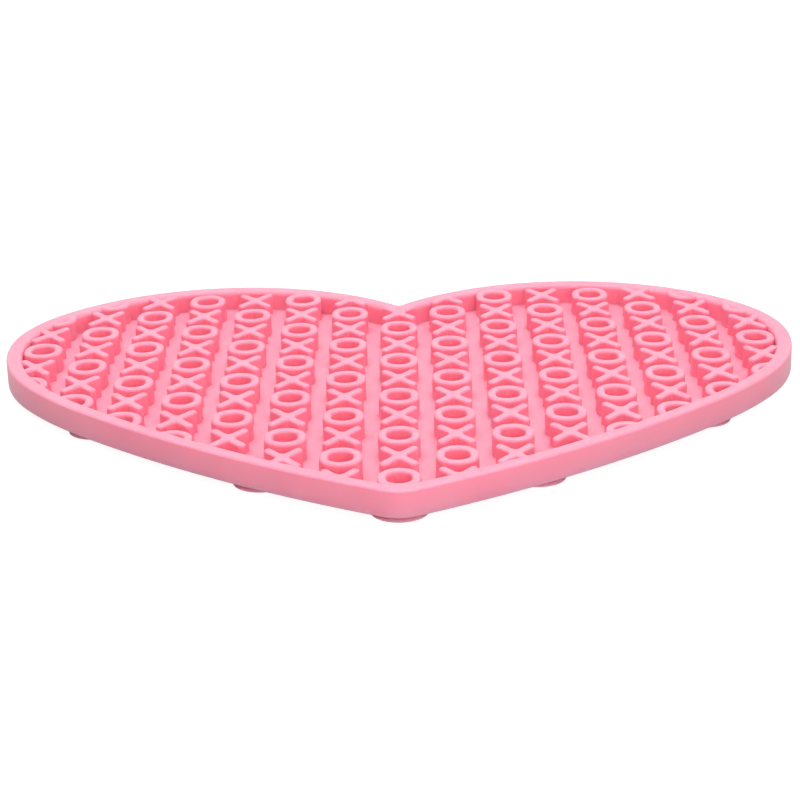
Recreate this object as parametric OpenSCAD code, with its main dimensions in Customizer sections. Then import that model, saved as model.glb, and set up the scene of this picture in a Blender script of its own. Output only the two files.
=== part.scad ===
// Heart-shaped lick mat with raised rings and crosses, standing on eight suction cups

/* [Outline] */
// Width of the mat across its lobes
mat_w = 231; // [205:1:260]
// Distance from the first pattern row up to the mat's widest line
widest_y = 107.8; // [100:0.1:118]
// Radius of the shoulder, from the widest line up to the lobe
shoulder_r = 48; // [42:1:56]
// Angle that the shoulder turns through, in degrees
shoulder_turn = 37.5; // [30:0.5:45]
// Distance from the first pattern row up to the corner where the lobes meet
notch_y = 141.1; // [130:0.1:155]
// Radius of the flank, from the widest line downwards
flank_r = 63; // [56:1:72]
// Angle at which the flank ends, in degrees
flank_turn = 33.5; // [28:0.5:38]
// Radius of the long side below the flank
side_r = 124.5; // [110:0.5:140]
// Angle at which the side ends, in degrees
side_turn = 45.5; // [42:0.5:50]
// Radius of the nearly straight front edge that runs to the tip
front_r = 359; // [300:1:420]
// Radius of the rounded tip
tip_r = 9; // [7:0.5:16]
// Radius in the notch between the lobes
notch_r = 1; // [0.5:0.5:6]

/* [Tray] */
// Height of the tray from its underside to the top of the rim
tray_h = 7.5; // [5:0.1:12]
// Thickness of the floor sheet
floor_t = 1.4; // [1.2:0.1:3]
// Width of the rim
rim_w = 4.6; // [3:0.1:6]

/* [Ridges] */
// Distance from each row or column of ridges to the next
pitch = 15; // [14:0.5:20]
// Overall width of a ring
ring_w = 11.2; // [9:0.1:12]
// Overall length of a ring
ring_l = 12.7; // [12:0.1:14]
// Width of a ring's wall round its well
ring_wall = 2.4; // [1.6:0.1:3]
// Overall width of a cross
cross_w = 10; // [8:0.1:12]
// Overall length of a cross
cross_l = 12.7; // [10:0.1:14]
// Width of a cross's bars
bar_w = 2.4; // [1.6:0.1:3]
// Least part of a clipped ridge that is left standing at the rim
least_show = 1.5; // [0.5:0.1:3]

/* [Suction cups] */
// Diameter of a cup's lip
cup_d = 15; // [12:0.5:18]
// Height of the tray's underside above the surface that the cups stand on
stand_off = 2; // [1.6:0.1:4]
// Distance from the mat's edge in to the middle of a front, side or lobe cup
cup_inset = 9.2; // [9:0.1:12]
// Distance from the tip in to the middle of the tip's cup
tip_cup_inset = 9.7; // [9:0.1:14]
// Diameter of the pad that seats in the floor sheet
pad_d = 9; // [7:0.5:11]
// Height of the pad inside its seat
pad_h = 0.5; // [0.3:0.1:1]
// Clearance round a pad in its seat
seat_gap = 0.1; // [0.05:0.05:0.3]
// Width of the flat ring at the lip
lip_w = 0.9; // [0.5:0.1:1.5]
// Thickness of the skirt at the lip
lip_t = 0.4; // [0.3:0.1:0.8]
// Depth of the hollow under a cup
hollow_depth = 1.1; // [0.8:0.1:1.4]
// Place of the front cups along the front edge, in degrees
front_cup_turn = 55.3; // [50:0.1:58]
// Place of the side cups along the side, in degrees
side_cup_turn = 43.8; // [38:0.1:45]
// Place of the lobe cups round the lobe, in degrees
lobe_cup_turn = 80; // [60:1:100]

/* [Hidden] */

// Largest angle between two points of an outline arc
arc_step = 3;
// Facets of a full circle
round_fn = 64;
// Points from the middle to the edge of a cup's hollow
hollow_steps = 8;
// Overrun of cuts past the faces that they open
overrun = 0.5;

half_w = mat_w / 2;
ring_r = ring_w / 2;
ring_half_l = (ring_l - ring_w) / 2;
cup_r = cup_d / 2;
pad_r = pad_d / 2;
bar_r = bar_w / 2;
ridge_h = tray_h - floor_t;
floor_top = stand_off + floor_t;

// Radius of an arc that leaves point p with its centre against direction u, and runs through point q
function radius_through(p, u, q) = (p - q) * (p - q) / (2 * (p - q) * u);

// Centres of the outline's arcs on the right-hand side, where neighbours meet on a shared tangent
shoulder_c = [half_w - shoulder_r, widest_y];
shoulder_u = [cos(shoulder_turn), sin(shoulder_turn)];
lobe_r = radius_through(shoulder_c + shoulder_r * shoulder_u, shoulder_u, [0, notch_y]);
lobe_c = shoulder_c + (shoulder_r - lobe_r) * shoulder_u;
flank_c = [half_w - flank_r, widest_y];
side_c = flank_c + (flank_r - side_r) * [cos(flank_turn), -sin(flank_turn)];
front_c = side_c + (side_r - front_r) * [cos(side_turn), -sin(side_turn)];
notch_c = [0, lobe_c.y + sqrt(pow(lobe_r + notch_r, 2) - pow(lobe_c.x, 2))];
tip_c = [0, front_c.y - sqrt(pow(front_r - tip_r, 2) - pow(front_c.x, 2))];
lobe_end = atan2(notch_c.y - lobe_c.y, -lobe_c.x);
front_end = atan2(tip_c.y - front_c.y, -front_c.x);

tip_y = tip_c.y - tip_r;
top_y = lobe_c.y + lobe_r;
mid_y = (tip_y + top_y) / 2;
columns = floor(half_w / pitch);
rows = ceil(top_y / pitch);

function on_arc(centre, radius, angle) = centre + radius * [cos(angle), sin(angle)];

// Points of an arc without its last one, which starts the next arc
function arc_points(centre, radius, from, to) =
    let (count = ceil(abs(to - from) / arc_step))
    [for (k = [0 : count - 1]) on_arc(centre, radius, from + (to - from) * k / count)];

// Right half of the outline, drawn in by an inset, from the tip round to the notch
function half_outline(inset) = concat(
    arc_points(tip_c, tip_r - inset, -90, front_end),
    arc_points(front_c, front_r - inset, front_end, -side_turn),
    arc_points(side_c, side_r - inset, -side_turn, -flank_turn),
    arc_points(flank_c, flank_r - inset, -flank_turn, 0),
    arc_points(shoulder_c, shoulder_r - inset, 0, shoulder_turn),
    arc_points(lobe_c, lobe_r - inset, shoulder_turn, lobe_end),
    arc_points(notch_c, notch_r + inset, lobe_end - 180, -90),
    [on_arc(notch_c, notch_r + inset, -90)]
);

function full_outline(inset) =
    let (right = half_outline(inset))
    concat(right, [for (k = [len(right) - 2 : -1 : 1]) [-right[k].x, right[k].y]]);

function angle_of(centre, p) = atan2(p.y - centre.y, p.x - centre.x);

// How far a point of the right half lies inside the outline
function depth_right(p) =
    p.y > widest_y
        ? (angle_of(shoulder_c, p) < shoulder_turn
            ? shoulder_r - norm(p - shoulder_c)
            : lobe_r - norm(p - lobe_c))
        : (angle_of(front_c, p) < -side_turn
            ? front_r - norm(p - front_c)
            : (angle_of(side_c, p) < -flank_turn
                ? side_r - norm(p - side_c)
                : flank_r - norm(p - flank_c)));

function cell(i, j) = [i * pitch, j * pitch];
function is_ring(i, j) = (abs(i) + j) % 2 == 0;
function shows(i, j, reach) = depth_right(cell(abs(i), j)) + reach > rim_w + least_show;

module heart(inset) {
    translate([0, -mid_y]) polygon(full_outline(inset));
}

module on_floor() {
    translate([0, 0, floor_top]) linear_extrude(ridge_h) children();
}

// Round-ended shape that is ring_l - ring_w longer than it is wide
module oval(radius) {
    for (s = [-1, 1]) translate([0, s * ring_half_l]) circle(radius, $fn = round_fn);
    square([2 * radius, 2 * ring_half_l], center = true);
}

module ring() {
    difference() {
        oval(ring_r);
        oval(ring_r - ring_wall);
    }
}

module bar(reach) {
    rotate(atan2(reach.y, reach.x)) {
        square([2 * norm(reach), bar_w], center = true);
        for (s = [-1, 1]) translate([s * norm(reach), 0]) circle(bar_r, $fn = round_fn);
    }
}

module cross() {
    arm = [cross_w / 2 - bar_r, cross_l / 2 - bar_r];
    bar(arm);
    bar([arm.x, -arm.y]);
}

// Every ring or every cross of the pattern, clipped by the rim's inner edge
module pattern(rings) {
    intersection() {
        heart(rim_w);
        translate([0, -mid_y]) for (i = [-columns : columns], j = [0 : rows]) {
            if (is_ring(i, j) == rings && shows(i, j, (rings ? ring_l : cross_l) / 2)) {
                translate(cell(i, j)) {
                    if (rings) ring();
                    else cross();
                }
            }
        }
    }
}

// Middle of each cup in the mat's frame
function place(p, side) = [side * p.x, p.y - mid_y];
tip_cup = place([0, tip_y + tip_cup_inset], 1);
front_cup = on_arc(front_c, front_r - cup_inset, -front_cup_turn);
side_cup = on_arc(side_c, side_r - cup_inset, -side_cup_turn);
lobe_cup = on_arc(lobe_c, lobe_r - cup_inset, lobe_cup_turn);
cup_places = [tip_cup, place(front_cup, -1), place(front_cup, 1), place(side_cup, -1),
              place(side_cup, 1), place(lobe_cup, -1), place(lobe_cup, 1), [0, 0]];

module floor_sheet() {
    color("#ff9fb0") difference() {
        translate([0, 0, stand_off]) linear_extrude(floor_t) heart(0);
        for (p = cup_places) {
            translate([p.x, p.y, stand_off - overrun])
                cylinder(h = pad_h + overrun, r = pad_r + seat_gap, $fn = round_fn);
        }
    }
}

module rim_wall() {
    color("#f4a3b7") on_floor() difference() {
        heart(0);
        heart(rim_w);
    }
}

module ring_ridges() {
    color("#fcb2c6") on_floor() pattern(true);
}

module cross_ridges() {
    color("#fcb2c6") on_floor() pattern(false);
}

// Lathe profile of a cup: lip, outside of the skirt, pad, and the curved hollow back to the lip
hollow_r = cup_r - lip_w;
cup_profile = concat(
    [[cup_r, 0], [cup_r, lip_t], [pad_r + pad_h, stand_off - lip_t], [pad_r, stand_off],
     [pad_r, stand_off + pad_h], [0, stand_off + pad_h]],
    [for (k = [0 : hollow_steps])
        [hollow_r * k / hollow_steps, hollow_depth * (1 - pow(k / hollow_steps, 2))]]
);

module suction_cup(p) {
    color("#cd8296") translate([p.x, p.y, 0]) rotate_extrude($fn = round_fn) polygon(cup_profile);
}

floor_sheet();
rim_wall();
ring_ridges();
cross_ridges();
suction_cup(cup_places[0]);  // suction_cup_tip
suction_cup(cup_places[1]);  // suction_cup_front_left
suction_cup(cup_places[2]);  // suction_cup_front_right
suction_cup(cup_places[3]);  // suction_cup_side_left
suction_cup(cup_places[4]);  // suction_cup_side_right
suction_cup(cup_places[5]);  // suction_cup_lobe_left
suction_cup(cup_places[6]);  // suction_cup_lobe_right
suction_cup(cup_places[7]);  // suction_cup_centre
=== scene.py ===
import math

import bmesh
import bpy
from mathutils import Matrix, Vector


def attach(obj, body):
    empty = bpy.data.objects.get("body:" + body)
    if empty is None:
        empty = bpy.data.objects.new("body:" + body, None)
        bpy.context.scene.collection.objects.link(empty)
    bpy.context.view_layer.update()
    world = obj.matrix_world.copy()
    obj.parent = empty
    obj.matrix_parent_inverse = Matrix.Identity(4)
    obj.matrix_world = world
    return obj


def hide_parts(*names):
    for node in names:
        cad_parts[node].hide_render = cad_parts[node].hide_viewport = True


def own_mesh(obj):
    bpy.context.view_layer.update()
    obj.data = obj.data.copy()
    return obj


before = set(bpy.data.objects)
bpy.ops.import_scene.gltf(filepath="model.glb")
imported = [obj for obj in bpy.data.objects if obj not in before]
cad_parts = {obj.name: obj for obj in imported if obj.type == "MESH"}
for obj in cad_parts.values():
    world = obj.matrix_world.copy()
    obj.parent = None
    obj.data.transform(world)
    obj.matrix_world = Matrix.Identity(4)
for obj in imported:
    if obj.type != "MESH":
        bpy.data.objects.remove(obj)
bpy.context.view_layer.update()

# Sizes are in millimetres and become metres where they meet Blender
mm = 0.001
standOff = 2.0
trayHeight = 7.5
floorThickness = 1.4
rimTop = standOff + trayHeight
floorTop = standOff + floorThickness
tiny = 0.001  # points closer than this are the same
wallNormal = 0.1  # a face is a wall when the Z of its normal is under this

# The heart is a chain of arcs that share tangents, named from its widest line
heart = {"halfWidth": 115.5, "widestLine": 107.8, "shoulder": 48, "shoulderTurn": 37.5,
         "notchLine": 141.1, "flank": 63, "flankTurn": 33.5, "side": 124.5, "sideTurn": 45.5,
         "front": 359, "tip": 9, "notch": 1, "arcStep": 1.6, "leastSteps": 6}


def polar(centre, radius, degrees):
    angle = math.radians(degrees)
    return Vector((centre[0] + radius * math.cos(angle), centre[1] + radius * math.sin(angle)))


def lobeRadius(shoulderEnd):
    # The arc leaves the shoulder's end on its tangent and runs to where the lobes meet
    outward = polar((0, 0), 1, heart["shoulderTurn"])
    span = shoulderEnd - Vector((0, heart["notchLine"]))
    return span.length_squared / (2 * span.dot(outward))


def heartCentres():
    h = heart
    shoulder = Vector((h["halfWidth"] - h["shoulder"], h["widestLine"]))
    h["lobe"] = lobeRadius(polar(shoulder, h["shoulder"], h["shoulderTurn"]))
    lobe = polar(shoulder, h["shoulder"] - h["lobe"], h["shoulderTurn"])
    flank = Vector((h["halfWidth"] - h["flank"], h["widestLine"]))
    side = polar(flank, h["flank"] - h["side"], -h["flankTurn"])
    front = polar(side, h["side"] - h["front"], -h["sideTurn"])
    notch = Vector((0, lobe.y + math.sqrt((h["lobe"] + h["notch"]) ** 2 - lobe.x ** 2)))
    tip = Vector((0, front.y - math.sqrt((h["front"] - h["tip"]) ** 2 - front.x ** 2)))
    return {"shoulder": shoulder, "lobe": lobe, "flank": flank, "side": side, "front": front,
            "notch": notch, "tip": tip}


centres = heartCentres()
tipY = centres["tip"].y - heart["tip"]
topY = centres["lobe"].y + heart["lobe"]
midY = (tipY + topY) / 2


def heartOutline():
    # Points from the tip up the right side to the notch, then mirrored down the left side
    c = centres
    lobeEnd = math.degrees(math.atan2(c["notch"].y - c["lobe"].y, -c["lobe"].x))
    frontEnd = math.degrees(math.atan2(c["tip"].y - c["front"].y, -c["front"].x))
    arcs = [("tip", -90, frontEnd), ("front", frontEnd, -heart["sideTurn"]),
            ("side", -heart["sideTurn"], -heart["flankTurn"]), ("flank", -heart["flankTurn"], 0),
            ("shoulder", 0, heart["shoulderTurn"]), ("lobe", heart["shoulderTurn"], 90),
            ("lobe", 90, lobeEnd), ("notch", lobeEnd - 180, -90)]
    right = []
    for name, first, last in arcs:
        length = heart[name] * math.radians(abs(last - first))
        count = max(heart["leastSteps"], math.ceil(length / heart["arcStep"]))
        for k in range(count):
            right.append(polar(c[name], heart[name], first + (last - first) * k / count))
    right.append(polar(c["notch"], heart["notch"], -90))
    left = [Vector((-p.x, p.y)) for p in reversed(right[1:-1])]
    return [Vector((p.x, p.y - midY)) for p in right + left]


def depthInside(x, y):
    # How far a point of the right half lies inside the outline
    p = Vector((x, y))
    turn = {name: math.degrees(math.atan2(p.y - c.y, p.x - c.x)) for name, c in centres.items()}
    if p.y > heart["widestLine"]:
        arc = "shoulder" if turn["shoulder"] < heart["shoulderTurn"] else "lobe"
    elif turn["front"] < -heart["sideTurn"]:
        arc = "front"
    else:
        arc = "side" if turn["side"] < -heart["flankTurn"] else "flank"
    return heart[arc] - (p - centres[arc]).length


# Small helpers for work in edit mode

def startCircle(points, radius, height, fill="NGON"):
    # Everything else is deselected first, so an operator only touches the new piece
    bpy.ops.object.select_all(action="DESELECT")
    bpy.ops.mesh.primitive_circle_add(vertices=points, radius=radius * mm, fill_type=fill,
                                      location=(0, 0, 0))
    bpy.ops.object.mode_set(mode="EDIT")
    bpy.ops.mesh.select_all(action="SELECT")
    bpy.ops.transform.translate(value=(0, 0, height * mm))


def finishPiece(name):
    bpy.ops.mesh.select_all(action="SELECT")
    bpy.ops.mesh.remove_doubles(threshold=tiny * mm)
    bpy.ops.mesh.normals_make_consistent(inside=False)
    piece = bpy.context.object
    if bmesh.from_edit_mesh(piece.data).calc_volume(signed=True) < 0:
        bpy.ops.mesh.flip_normals()
    bpy.ops.object.mode_set(mode="OBJECT")
    piece.name = piece.data.name = name
    return piece


def selectWhere(kind, test):
    # kind is verts, edges or faces, and the test is given each one
    mesh = bmesh.from_edit_mesh(bpy.context.object.data)
    bpy.ops.mesh.select_all(action="DESELECT")
    bpy.ops.mesh.select_mode(type={"verts": "VERT", "edges": "EDGE", "faces": "FACE"}[kind])
    for element in getattr(mesh, kind):
        if test(element):
            element.select_set(True)
    mesh.select_flush_mode()
    bmesh.update_edit_mesh(bpy.context.object.data)


def atHeight(element, height):
    return all(abs(v.co.z - height * mm) < tiny * mm for v in element.verts)


def middleOf(edge):
    return (edge.verts[0].co + edge.verts[1].co) / 2


def isUpright(edge):
    return (edge.verts[0].co - edge.verts[1].co).xy.length < tiny * mm


def meetsWall(edge):
    return any(abs(face.normal.z) < wallNormal for face in edge.link_faces)


def extrudeBy(x, y, z):
    bpy.ops.mesh.extrude_region_move(TRANSFORM_OT_translate={"value": (x * mm, y * mm, z * mm)})


def bevelEdges(width, segments):
    bpy.ops.mesh.bevel(offset=width * mm, segments=segments, affect="EDGES", clamp_overlap=False)


def activate(piece):
    bpy.ops.object.select_all(action="DESELECT")
    piece.select_set(True)
    bpy.context.view_layer.objects.active = piece


def applyModifier(piece, kind, **settings):
    activate(piece)
    bpy.ops.object.modifier_add(type=kind)
    modifier = piece.modifiers[-1]
    for key, value in settings.items():
        setattr(modifier, key, value)
    bpy.ops.object.modifier_apply(modifier=modifier.name)


def combine(piece, tool, operation):
    applyModifier(piece, "BOOLEAN", object=tool, operation=operation, solver="MANIFOLD")
    bpy.data.objects.remove(tool)
    piece.data.materials.clear()


def placed(source, x, y):
    copy = source.copy()
    copy.data = source.data.copy()
    copy.data.transform(Matrix.Translation((x * mm, y * mm, 0)))
    bpy.context.collection.objects.link(copy)
    return copy


def joined(copies):
    bpy.ops.object.select_all(action="DESELECT")
    for copy in copies:
        copy.select_set(True)
    bpy.context.view_layer.objects.active = copies[0]
    bpy.ops.object.join()
    return bpy.context.object


# The tray: one heart-shaped moulding with soft edges on its rim

tray = {"rimWidth": 4.6, "outerRound": 0.7, "innerRound": 1.5, "footRound": 0.3,
        "underRound": 0.4, "smoothUpTo": 38}


def heartPlate(low, high):
    # A circle's points are moved onto the outline, then the face is pulled up
    outline = heartOutline()
    startCircle(len(outline), heart["halfWidth"], low)
    mesh = bmesh.from_edit_mesh(bpy.context.object.data)
    mesh.verts.ensure_lookup_table()
    for vertex, point in zip(mesh.verts, outline):
        vertex.co.xy = point * mm
    bmesh.update_edit_mesh(bpy.context.object.data)
    extrudeBy(0, 0, high - low)
    bpy.ops.mesh.select_all(action="SELECT")
    bpy.ops.mesh.normals_make_consistent(inside=False)


def trayShell():
    heartPlate(standOff, rimTop)
    selectWhere("edges", lambda e: atHeight(e, rimTop))
    bevelEdges(tray["outerRound"], segments=4)
    selectWhere("faces", lambda f: atHeight(f, rimTop))
    bpy.ops.mesh.inset(thickness=(tray["rimWidth"] - tray["outerRound"]) * mm)
    extrudeBy(0, 0, floorTop - rimTop)
    selectWhere("edges", lambda e: atHeight(e, rimTop) and meetsWall(e))
    bevelEdges(tray["innerRound"], segments=4)
    selectWhere("edges", lambda e: atHeight(e, floorTop))
    bevelEdges(tray["footRound"], segments=3)
    selectWhere("edges", lambda e: atHeight(e, standOff))
    bevelEdges(tray["underRound"], segments=2)
    return finishPiece("tray")


# Ridges: rings and crosses stand on the floor sheet, as tall as the rim

ridges = {"pitch": 15.0, "leastShow": 1.5, "sunk": 0.5, "trimOver": 1.0}
ring = {"outer": 5.6, "well": 3.2, "points": 48, "stretch": 0.75, "topRound": 0.9}
cross = {"halfWidth": 5.0, "halfLength": 6.35, "bar": 2.4, "endRound": 0.9, "valleyRound": 1.2,
         "topRound": 0.7}  # endRound is a share of half the bar


def ridgeTrimmer():
    # Fills the tray out to the middle of its rim, and cuts off what runs past that
    low, high = floorTop - ridges["trimOver"], rimTop + ridges["trimOver"]
    heartPlate(low, high)
    selectWhere("faces", lambda f: atHeight(f, high))
    bpy.ops.mesh.inset(thickness=tray["rimWidth"] / 2 * mm)
    bpy.ops.mesh.select_all(action="INVERT")
    bpy.ops.mesh.delete(type="FACE")
    bpy.ops.mesh.select_all(action="SELECT")
    extrudeBy(0, 0, low - high)
    return finishPiece("ridgeTrimmer")


def ringRidge():
    startCircle(ring["points"], ring["outer"], floorTop - ridges["sunk"])
    bpy.ops.mesh.inset(thickness=(ring["outer"] - ring["well"]) * mm)
    bpy.ops.mesh.delete(type="FACE")
    bpy.ops.mesh.select_all(action="SELECT")
    extrudeBy(0, 0, rimTop - floorTop + ridges["sunk"])
    bpy.ops.mesh.select_all(action="SELECT")
    bpy.ops.mesh.normals_make_consistent(inside=False)
    selectWhere("edges", lambda e: atHeight(e, rimTop) and meetsWall(e))
    bevelEdges(ring["topRound"], segments=4)
    for side in (-1, 1):
        selectWhere("verts", lambda v: v.co.y * side > tiny * mm)
        bpy.ops.transform.translate(value=(0, side * ring["stretch"] * mm, 0))
    return finishPiece("ringRidge")


def squareEnd(end, half):
    # The pulled edge is set square to its arm
    mesh = bmesh.from_edit_mesh(bpy.context.object.data)
    for vertex in (v for v in mesh.verts if v.select):
        side = 1 if (vertex.co.xy - end * mm).dot(half) > 0 else -1
        vertex.co.xy = (end + half * side) * mm
    bmesh.update_edit_mesh(bpy.context.object.data)


def crossRidge():
    # The rhombus where the bars cross, an arm pulled out of each of its sides, then pulled up
    half = cross["bar"] / 2
    reach = Vector((cross["halfWidth"] - half, cross["halfLength"] - half))
    along = reach.normalized()
    corners, radius = 4, 1
    startCircle(corners, radius, floorTop - ridges["sunk"])
    bpy.ops.transform.resize(value=(half / along.y, half / along.x, 1))
    for right in (-1, 1):
        for up in (-1, 1):
            arm = Vector((right * along.x, up * along.y))
            end = arm * (reach.length + half)
            selectWhere("edges", lambda e: middleOf(e).x * right > 0 and middleOf(e).y * up > 0
                        and middleOf(e).xy.length < reach.length / 2 * mm)
            extrudeBy(end.x, end.y, 0)
            squareEnd(end, Vector((-arm.y, arm.x)) * half)
    bpy.ops.mesh.select_mode(type="FACE")
    bpy.ops.mesh.select_all(action="SELECT")
    bpy.ops.mesh.dissolve_faces()
    bpy.ops.mesh.select_all(action="SELECT")
    extrudeBy(0, 0, rimTop - floorTop + ridges["sunk"])
    selectWhere("edges", lambda e: isUpright(e) and middleOf(e).xy.length > reach.length * mm)
    bevelEdges(half * cross["endRound"], segments=5)
    selectWhere("edges", lambda e: isUpright(e) and middleOf(e).xy.length < reach.length / 2 * mm)
    bevelEdges(cross["valleyRound"], segments=3)
    bpy.ops.mesh.select_all(action="SELECT")
    bpy.ops.mesh.normals_make_consistent(inside=False)
    selectWhere("edges", lambda e: atHeight(e, rimTop))
    bevelEdges(cross["topRound"], segments=4)
    return finishPiece("crossRidge")


def ridgePattern():
    columns = math.floor(heart["halfWidth"] / ridges["pitch"])
    rows = math.ceil(topY / ridges["pitch"])
    oneRing, oneCross = ringRidge(), crossRidge()
    copies = []
    for i in range(-columns, columns + 1):
        for j in range(rows + 1):
            x, y = i * ridges["pitch"], j * ridges["pitch"]
            isRing = (i + j) % 2 == 0
            reach = ring["outer"] + ring["stretch"] if isRing else cross["halfLength"]
            if depthInside(abs(x), y) + reach <= tray["rimWidth"] + ridges["leastShow"]:
                continue
            copies.append(placed(oneRing if isRing else oneCross, x, y - midY))
    for source in (oneRing, oneCross):
        bpy.data.objects.remove(source)
    print("ridges placed:", len(copies))
    return joined(copies)


# Suction cups: a soft lip, a flared skirt and a pad that seats in the floor sheet

cup = {"lip": 7.5, "lipFlat": 0.9, "lipEdge": ((0.15, 0), (0.03, 0.08), (0, 0.22), (0.08, 0.36)),
       "hollow": 1.1, "hollowSteps": 8, "skirtFoot": 0.42, "skirtSteps": 5, "skirtFlare": 1.6,
       "skirtRise": 1.1, "neck": 0.45, "pad": 4.5, "padHeight": 0.5, "padRound": 0.1,
       "capRadius": 1, "seatGap": 0.1, "seatBelow": 1, "points": 64, "smoothUpTo": 50,
       "inset": 9.2, "tipInset": 9.7, "frontTurn": -55.3, "sideTurn": -43.8, "lobeTurn": 80,
       "pressed": 1.0}


def cupPlaces():
    c = centres
    front = polar(c["front"], heart["front"] - cup["inset"], cup["frontTurn"])
    side = polar(c["side"], heart["side"] - cup["inset"], cup["sideTurn"])
    lobe = polar(c["lobe"], heart["lobe"] - cup["inset"], cup["lobeTurn"])
    places = {"tip": (0, tipY + cup["tipInset"] - midY), "centre": (0, 0)}
    for name, spot in (("front", front), ("side", side), ("lobe", lobe)):
        places[name + "_left"] = (-spot.x, spot.y - midY)
        places[name + "_right"] = (spot.x, spot.y - midY)
    return places


def cupProfile():
    # Radius and height, from the top of the hollow, over the lip and up to the pad's top
    lip, pad, inner = cup["lip"], cup["pad"], cup["lip"] - cup["lipFlat"]
    steps = cup["hollowSteps"]
    hollow = [(inner * k / steps, cup["hollow"] * (1 - (k / steps) ** 2)) for k in range(1, steps)]
    edge = [(inner, 0)] + [(lip - inward, height) for inward, height in cup["lipEdge"]]
    # The neck is long enough to stay out of the floor sheet when the skirt is flattened
    foot, steps = cup["skirtFoot"], cup["skirtSteps"]
    rise = standOff - cup["neck"] - foot
    skirt = []
    for k in range(1, steps + 1):
        flare = (1 - k / steps) ** cup["skirtFlare"]
        skirt.append((pad + (lip - pad) * flare, foot + rise * (k / steps) ** cup["skirtRise"]))
    top, soft = standOff + cup["padHeight"], cup["padRound"]
    return hollow + edge + skirt + [(pad, top - soft), (pad - soft, top), (cup["capRadius"], top)]


def suctionCup():
    profile = cupProfile()
    radius, height = profile[0]
    startCircle(cup["points"], radius, height, fill="TRIFAN")
    selectWhere("edges", lambda e: e.is_boundary)
    for nextRadius, nextHeight in profile[1:]:
        extrudeBy(0, 0, nextHeight - height)
        scale = nextRadius / radius
        bpy.ops.transform.resize(value=(scale, scale, 1), center_override=(0, 0, nextHeight * mm))
        radius, height = nextRadius, nextHeight
    extrudeBy(0, 0, 0)
    bpy.ops.mesh.merge(type="CENTER")
    return finishPiece("suctionCup")


def cupSeats(places):
    # Shallow round pockets for the pads, cut into the tray's underside
    startCircle(cup["points"], cup["pad"] + cup["seatGap"], standOff - cup["seatBelow"])
    extrudeBy(0, 0, cup["seatBelow"] + cup["padHeight"])
    seat = finishPiece("cupSeat")
    seats = joined([placed(seat, x, y) for x, y in places.values()])
    bpy.data.objects.remove(seat)
    return seats


# Materials

def hexColour(code):
    # sRGB hex to the linear values that the shader wants
    parts = [int(code[k:k + 2], 16) / 255 for k in (1, 3, 5)]
    return [p / 12.92 if p <= 0.04045 else ((p + 0.055) / 1.055) ** 2.4 for p in parts] + [1]


def addNode(tree, kind, settings=None, **links):
    # Adds a node, sets its properties and sockets, and links what is given to its inputs
    node = tree.nodes.new(kind)
    for key, value in (settings or {}).items():
        if key in node.inputs:
            node.inputs[key].default_value = value
        else:
            setattr(node, key, value)
    for key, source in links.items():
        tree.links.new(source, node.inputs[key.replace("_", " ")])
    return node


def newMaterial(name):
    material = bpy.data.materials.new(name)
    material.use_nodes = True
    material.node_tree.nodes.clear()
    return material, material.node_tree


# Platinum-cured silicone, compression moulded: a milky, slightly see-through pink with a satin
# skin, faint pigment clouds and the fine tooth of the blasted mould
silicone = {"colour": "#FF9EB4", "cloud": "#FF99B0", "cloudSize": 22, "cloudDetail": 3,
            "cloudEdges": (0.35, 0.65), "tooth": 0.5, "toothDetail": 2, "toothHeight": 0.012,
            "ior": 1.41, "roughness": 0.46, "roughSpread": 0.06, "scatter": 1.0,
            "scatterDepth": 3.0, "scatterReach": (1.4, 0.36, 0.45)}

# The cups' silicone is thinner and lets less light wander; its colour is painted paler than the
# mat's, a painted lift of the shade that falls under the mat
cupLookPaintedPaler = {"colour": "#FFB4C6", "cloud": "#FFAFC1", "scatterDepth": 0.4}


def siliconeMaterial(name, look):
    material, tree = newMaterial(name)
    place = addNode(tree, "ShaderNodeTexCoord").outputs["Object"]
    clouds = addNode(tree, "ShaderNodeTexNoise", {"Scale": 1 / (look["cloudSize"] * mm),
                                                  "Detail": look["cloudDetail"]}, Vector=place)
    tooth = addNode(tree, "ShaderNodeTexNoise", {"Scale": 1 / (look["tooth"] * mm),
                                                 "Detail": look["toothDetail"]}, Vector=place)
    colour = addNode(tree, "ShaderNodeValToRGB", {}, Fac=clouds.outputs["Fac"])
    stops = colour.color_ramp.elements
    for stop, edge, tint in zip(stops, look["cloudEdges"], (look["cloud"], look["colour"])):
        stop.position = edge
        stop.color = hexColour(tint)
    rough = addNode(tree, "ShaderNodeMapRange", {"To Min": look["roughness"] - look["roughSpread"],
                                                 "To Max": look["roughness"] + look["roughSpread"]},
                    Value=tooth.outputs["Fac"])
    bump = addNode(tree, "ShaderNodeBump", {"Strength": 1, "Distance": look["toothHeight"] * mm},
                   Height=tooth.outputs["Fac"])
    shader = addNode(tree, "ShaderNodeBsdfPrincipled",
                     {"IOR": look["ior"], "Subsurface Weight": look["scatter"],
                      "Subsurface Radius": look["scatterReach"],
                      "Subsurface Scale": look["scatterDepth"] * mm},
                     Base_Color=colour.outputs["Color"], Roughness=rough.outputs["Result"],
                     Normal=bump.outputs["Normal"])
    addNode(tree, "ShaderNodeOutputMaterial", {}, Surface=shader.outputs["BSDF"])
    return material


# Stage: pale floor, soft light and the camera

stage = {"floorSize": 8000, "floorShade": 0.46, "shadowShare": 0.25, "worldLevel": 0.34}
camera = {"azimuth": 0.35, "elevation": 20.06, "roll": -1.26, "distance": 601.3,
          "target": (0.3, 55.55), "lens": 98.82, "sensor": 36, "nearest": 10, "farthest": 20000}
lamps = {"overhead": {"at": (0, 60, 900), "size": 1000, "power": 9.4},
         "front": {"at": (150, -700, 150), "size": 360, "power": 2.3}}


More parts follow.
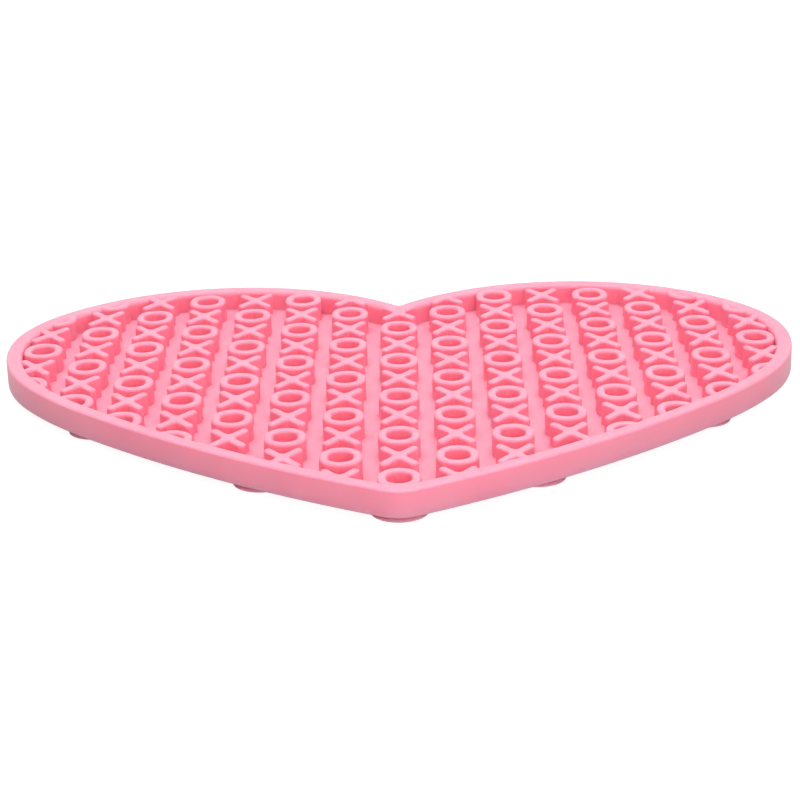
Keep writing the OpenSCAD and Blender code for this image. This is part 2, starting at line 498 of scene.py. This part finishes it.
def outsideRays(tree):
    # 1 for rays that show the background: the camera's, and mirror or glass rays
    path = addNode(tree, "ShaderNodeLightPath")
    glossy = addNode(tree, "ShaderNodeMath", {"operation": "MAXIMUM"})
    tree.links.new(path.outputs["Is Glossy Ray"], glossy.inputs[0])
    tree.links.new(path.outputs["Is Transmission Ray"], glossy.inputs[1])
    either = addNode(tree, "ShaderNodeMath", {"operation": "MAXIMUM"})
    tree.links.new(path.outputs["Is Camera Ray"], either.inputs[0])
    tree.links.new(glossy.outputs[0], either.inputs[1])
    return either.outputs[0]


def studioFloor():
    bpy.ops.object.select_all(action="DESELECT")
    bpy.ops.mesh.primitive_plane_add(size=stage["floorSize"] * mm, location=(0, 0, 0))
    floor = bpy.context.object
    floor.name = "studioFloor"
    material, tree = newMaterial("matte white paper")
    shade = stage["floorShade"]
    paper = addNode(tree, "ShaderNodeBsdfDiffuse", {"Color": (shade, shade, shade, 1)})
    share = stage["shadowShare"]
    shadow = addNode(tree, "ShaderNodeBsdfDiffuse", {"Color": (share, share, share, 1)})
    # Far from the lamps the glow and the room's light add up to plain white
    glow = addNode(tree, "ShaderNodeEmission", {"Color": (1, 1, 1, 1),
                                                "Strength": 1 - share * stage["worldLevel"]})
    seen = addNode(tree, "ShaderNodeAddShader")
    tree.links.new(shadow.outputs[0], seen.inputs[0])
    tree.links.new(glow.outputs[0], seen.inputs[1])
    both = addNode(tree, "ShaderNodeMixShader")
    tree.links.new(outsideRays(tree), both.inputs[0])
    tree.links.new(paper.outputs[0], both.inputs[1])
    tree.links.new(seen.outputs[0], both.inputs[2])
    addNode(tree, "ShaderNodeOutputMaterial", {}, Surface=both.outputs[0])
    floor.data.materials.append(material)


def studioLight():
    world = bpy.data.worlds.new("softWhiteRoom")
    world.use_nodes = True
    bpy.context.scene.world = world
    tree = world.node_tree
    tree.nodes.clear()
    strength = addNode(tree, "ShaderNodeMapRange", {"To Min": stage["worldLevel"], "To Max": 1.0},
                       Value=outsideRays(tree))
    glow = addNode(tree, "ShaderNodeBackground", {"Color": (1, 1, 1, 1)},
                   Strength=strength.outputs["Result"])
    addNode(tree, "ShaderNodeOutputWorld", {}, Surface=glow.outputs[0])
    for name, lamp in lamps.items():
        bpy.ops.object.light_add(type="AREA", location=[v * mm for v in lamp["at"]])
        light = bpy.context.object
        light.name = name + "Lamp"
        light.data.energy = lamp["power"]
        light.data.size = lamp["size"] * mm
        light.rotation_euler = (-light.location).to_track_quat("-Z", "Y").to_euler()


def photoCamera():
    azimuth, elevation = math.radians(camera["azimuth"]), math.radians(camera["elevation"])
    level = math.cos(elevation)
    back = Vector((math.sin(azimuth) * level, -math.cos(azimuth) * level, math.sin(elevation)))
    right = Vector((math.cos(azimuth), math.sin(azimuth), 0))
    turned = Matrix((right, back.cross(right), back)).transposed()
    turned = turned @ Matrix.Rotation(math.radians(camera["roll"]), 3, "Z")
    target = Vector((camera["target"][0], camera["target"][1] - midY, rimTop))
    bpy.ops.object.camera_add()
    view = bpy.context.object
    view.name = "photoCamera"
    eye = (target + back * camera["distance"]) * mm
    view.matrix_world = Matrix.Translation(eye) @ turned.to_4x4()
    view.data.lens = camera["lens"]
    view.data.sensor_width = camera["sensor"]
    view.data.clip_start = camera["nearest"] * mm
    view.data.clip_end = camera["farthest"] * mm
    bpy.context.scene.camera = view


# Making

photoCamera()
studioFloor()
studioLight()
bpy.context.scene.view_settings.view_transform = "Standard"
print("stage ready")

places = cupPlaces()
mat = trayShell()
pattern = ridgePattern()
combine(pattern, ridgeTrimmer(), "INTERSECT")
combine(mat, pattern, "UNION")
combine(mat, cupSeats(places), "DIFFERENCE")
print("mat moulded:", len(mat.data.vertices), "points")

activate(mat)
bpy.ops.object.shade_smooth_by_angle(angle=math.radians(tray["smoothUpTo"]))
applyModifier(mat, "WEIGHTED_NORMAL", keep_sharp=True, weight=100)
mat.name = mat.data.name = "moulded_mat"
mat.data.materials.append(siliconeMaterial("compression-moulded pink silicone", silicone))
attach(mat, "mat")
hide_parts("floor_sheet", "rim_wall", "ring_ridges", "cross_ridges")

oneCup = suctionCup()
# The cups take the mat's silicone with their colour painted paler, to lift the shade under the mat
cupMaterial = siliconeMaterial("injection-moulded cup silicone", silicone | cupLookPaintedPaler)
for name, (x, y) in places.items():
    piece = placed(oneCup, x, y)
    piece.name = piece.data.name = "soft_cup_" + name
    activate(piece)
    bpy.ops.object.shade_smooth_by_angle(angle=math.radians(cup["smoothUpTo"]))
    piece.data.materials.append(cupMaterial)
    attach(piece, "cup_" + name)
    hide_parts("suction_cup_" + name)
    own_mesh(piece)
bpy.data.objects.remove(oneCup)
print("cups placed:", len(places))
